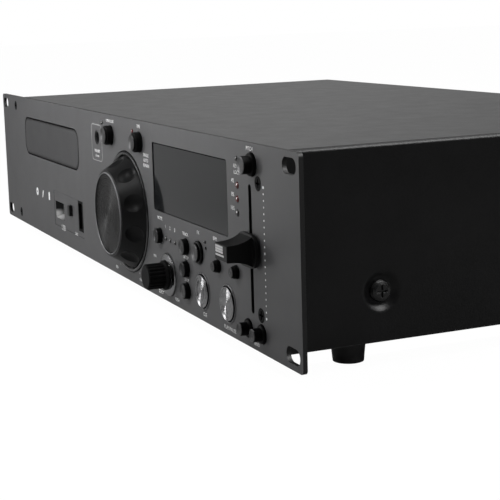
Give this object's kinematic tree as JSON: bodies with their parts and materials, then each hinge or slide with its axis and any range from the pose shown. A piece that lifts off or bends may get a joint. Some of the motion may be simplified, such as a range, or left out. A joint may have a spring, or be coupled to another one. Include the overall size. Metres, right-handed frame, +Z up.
{
  "type": "rack-mount disc player for disc jockeys",
  "caption": "Rack-mount disc player with a front tray, jog wheel, display, round push buttons, pitch fader, encoder knob and media slots, in a flat steel case on rubber feet.",
  "frame": {"origin": "centre of the four rack slots on the panel's front face", "axes": "+X to the user's right along the panel, +Y from the panel towards the rear, +Z up"},
  "size_m": [0.4826, 0.2715, 0.0966],
  "materials": {
    "panel": "satin dark grey",
    "casing": "fine satin black",
    "rubber": "matte",
    "fixings": "blackened",
    "black_plastic": "matte black",
    "gloss_black": "semi-gloss black",
    "steel": "zinc plated",
    "spun_metal": "spun, dark anodised",
    "window": "clear, glossy",
    "display": "grey glass in a black frame",
    "board": "green laminate",
    "lamp": "tinted",
    "nylon": "natural nylon",
    "die_cast": "cast"
  },
  "bodies": {
    "chassis": {"front_panel": "panel", "top_cover": "casing", "chassis_base": "casing", "rear_panel": "casing", "rubber_feet": "rubber", "foot_screws": "fixings", "cover_screws": "fixings", "panel_screws": "fixings", "media_insert": "black_plastic", "usb_port": "steel", "card_slot": "black_plastic", "headphone_jack": "black_plastic", "jog_ring": "gloss_black", "jog_bearing": "black_plastic", "display_window": "window", "lcd_module": "display", "control_boards": "board", "tact_switches": "black_plastic", "lamps": "lamp", "button_bezels": "spun_metal", "encoder_body": "steel", "fader_body": "steel", "loader_frame": "black_plastic", "loader_motor": "steel", "drive_belt": "rubber", "spindle_motor": "steel", "guide_rods": "steel", "main_board": "board", "power_supply": "board", "line_sockets": "gloss_black", "mains_inlet": "black_plastic", "power_switch": "black_plastic"},
    "tray": {"disc_tray": "black_plastic", "tray_door": "panel"},
    "gear": {"tray_gear": "nylon"},
    "loader_pulley": {"motor_pulley": "nylon"},
    "jog": {"jog_wheel": "gloss_black", "jog_cap": "spun_metal", "jog_spindle": "steel"},
    "encoder": {"encoder_knob": "black_plastic"},
    "fader": {"fader_stem": "steel", "fader_cap": "gloss_black"},
    "hub": {"spindle_hub": "nylon"},
    "pickup": {"optical_pickup": "die_cast"},
    "rocker": {"power_rocker": "black_plastic"},
    "media_key": {"media_button": "black_plastic"},
    "open_close_key": {"open_close_button": "spun_metal"},
    "time_key": {"time_button": "spun_metal"},
    "upper_key": {"upper_button": "spun_metal"},
    "key_cap_1": {"key_button_1": "spun_metal"},
    "key_cap_2": {"key_button_2": "spun_metal"},
    "key_cap_3": {"key_button_3": "spun_metal"},
    "key_cap_4": {"key_button_4": "spun_metal"},
    "small_key_1": {"small_button_1": "spun_metal"},
    "small_key_2": {"small_button_2": "spun_metal"},
    "ring_key": {"ring_button": "spun_metal"},
    "cue_key": {"cue_button": "spun_metal"},
    "play_key": {"play_button": "spun_metal"},
    "bend_minus_key": {"bend_minus_button": "spun_metal"},
    "bend_plus_key": {"bend_plus_button": "spun_metal"}
  },
  "joints": [
    {"name": "tray_slide", "type": "slide", "parent": "chassis", "child": "tray", "axis": [0, -1, 0], "range_m": [0, 0.138]},
    {"name": "gear_spin", "type": "hinge", "parent": "chassis", "child": "gear", "pos_m": [-0.1611, 0.015, 0], "axis": [0, 0, 1], "range_deg": [-5, 800]},
    {"name": "pulley_spin", "type": "hinge", "parent": "chassis", "child": "loader_pulley", "pos_m": [-0.1271, 0.015, 0], "axis": [0, 0, 1], "continuous": true},
    {"name": "jog_turn", "type": "hinge", "parent": "chassis", "child": "jog", "pos_m": [0.033, 0, -0.0062], "axis": [0, -1, 0], "continuous": true},
    {"name": "encoder_turn", "type": "hinge", "parent": "chassis", "child": "encoder", "pos_m": [0.0925, 0, -0.03], "axis": [0, -1, 0], "continuous": true},
    {"name": "fader_slide", "type": "slide", "parent": "chassis", "child": "fader", "axis": [0, 0, 1], "range_m": [-0.0225, 0.0225]},
    {"name": "hub_spin", "type": "hinge", "parent": "chassis", "child": "hub", "pos_m": [-0.118, 0.079, 0], "axis": [0, 0, 1], "continuous": true},
    {"name": "pickup_slide", "type": "slide", "parent": "chassis", "child": "pickup", "axis": [0, 1, 0], "range_m": [0, 0.034]},
    {"name": "rocker_tip", "type": "hinge", "parent": "chassis", "child": "rocker", "pos_m": [-0.112, 0.2444, 0], "axis": [1, 0, 0], "range_deg": [-18, 0]},
    {"name": "media_press", "type": "slide", "parent": "chassis", "child": "media_key", "axis": [0, 1, 0], "range_m": [0, 0.0005], "stiffness_N_per_m": 400, "springref_m": -0.0005},
    {"name": "open_close_press", "type": "slide", "parent": "chassis", "child": "open_close_key", "axis": [0, 1, 0], "range_m": [0, 0.0005], "stiffness_N_per_m": 400, "springref_m": -0.0005},
    {"name": "time_press", "type": "slide", "parent": "chassis", "child": "time_key", "axis": [0, 1, 0], "range_m": [0, 0.0005], "stiffness_N_per_m": 400, "springref_m": -0.0005},
    {"name": "upper_press", "type": "slide", "parent": "chassis", "child": "upper_key", "axis": [0, 1, 0], "range_m": [0, 0.0005], "stiffness_N_per_m": 400, "springref_m": -0.0005},
    {"name": "key_1_press", "type": "slide", "parent": "chassis", "child": "key_cap_1", "axis": [0, 1, 0], "range_m": [0, 0.0005], "stiffness_N_per_m": 400, "springref_m": -0.0005},
    {"name": "key_2_press", "type": "slide", "parent": "chassis", "child": "key_cap_2", "axis": [0, 1, 0], "range_m": [0, 0.0005], "stiffness_N_per_m": 400, "springref_m": -0.0005},
    {"name": "key_3_press", "type": "slide", "parent": "chassis", "child": "key_cap_3", "axis": [0, 1, 0], "range_m": [0, 0.0005], "stiffness_N_per_m": 400, "springref_m": -0.0005},
    {"name": "key_4_press", "type": "slide", "parent": "chassis", "child": "key_cap_4", "axis": [0, 1, 0], "range_m": [0, 0.0005], "stiffness_N_per_m": 400, "springref_m": -0.0005},
    {"name": "small_1_press", "type": "slide", "parent": "chassis", "child": "small_key_1", "axis": [0, 1, 0], "range_m": [0, 0.0005], "stiffness_N_per_m": 400, "springref_m": -0.0005},
    {"name": "small_2_press", "type": "slide", "parent": "chassis", "child": "small_key_2", "axis": [0, 1, 0], "range_m": [0, 0.0005], "stiffness_N_per_m": 400, "springref_m": -0.0005},
    {"name": "ring_press", "type": "slide", "parent": "chassis", "child": "ring_key", "axis": [0, 1, 0], "range_m": [0, 0.0005], "stiffness_N_per_m": 400, "springref_m": -0.0005},
    {"name": "cue_press", "type": "slide", "parent": "chassis", "child": "cue_key", "axis": [0, 1, 0], "range_m": [0, 0.0005], "stiffness_N_per_m": 400, "springref_m": -0.0005},
    {"name": "play_press", "type": "slide", "parent": "chassis", "child": "play_key", "axis": [0, 1, 0], "range_m": [0, 0.0005], "stiffness_N_per_m": 400, "springref_m": -0.0005},
    {"name": "bend_minus_press", "type": "slide", "parent": "chassis", "child": "bend_minus_key", "axis": [0, 1, 0], "range_m": [0, 0.0005], "stiffness_N_per_m": 400, "springref_m": -0.0005},
    {"name": "bend_plus_press", "type": "slide", "parent": "chassis", "child": "bend_plus_key", "axis": [0, 1, 0], "range_m": [0, 0.0005], "stiffness_N_per_m": 400, "springref_m": -0.0005}
  ],
  "couplings": [
    {"joint": "gear_spin", "follows": "tray_slide", "rad_per_m": 100},
    {"joint": "pulley_spin", "follows": "tray_slide", "rad_per_m": 450.9}
  ]
}
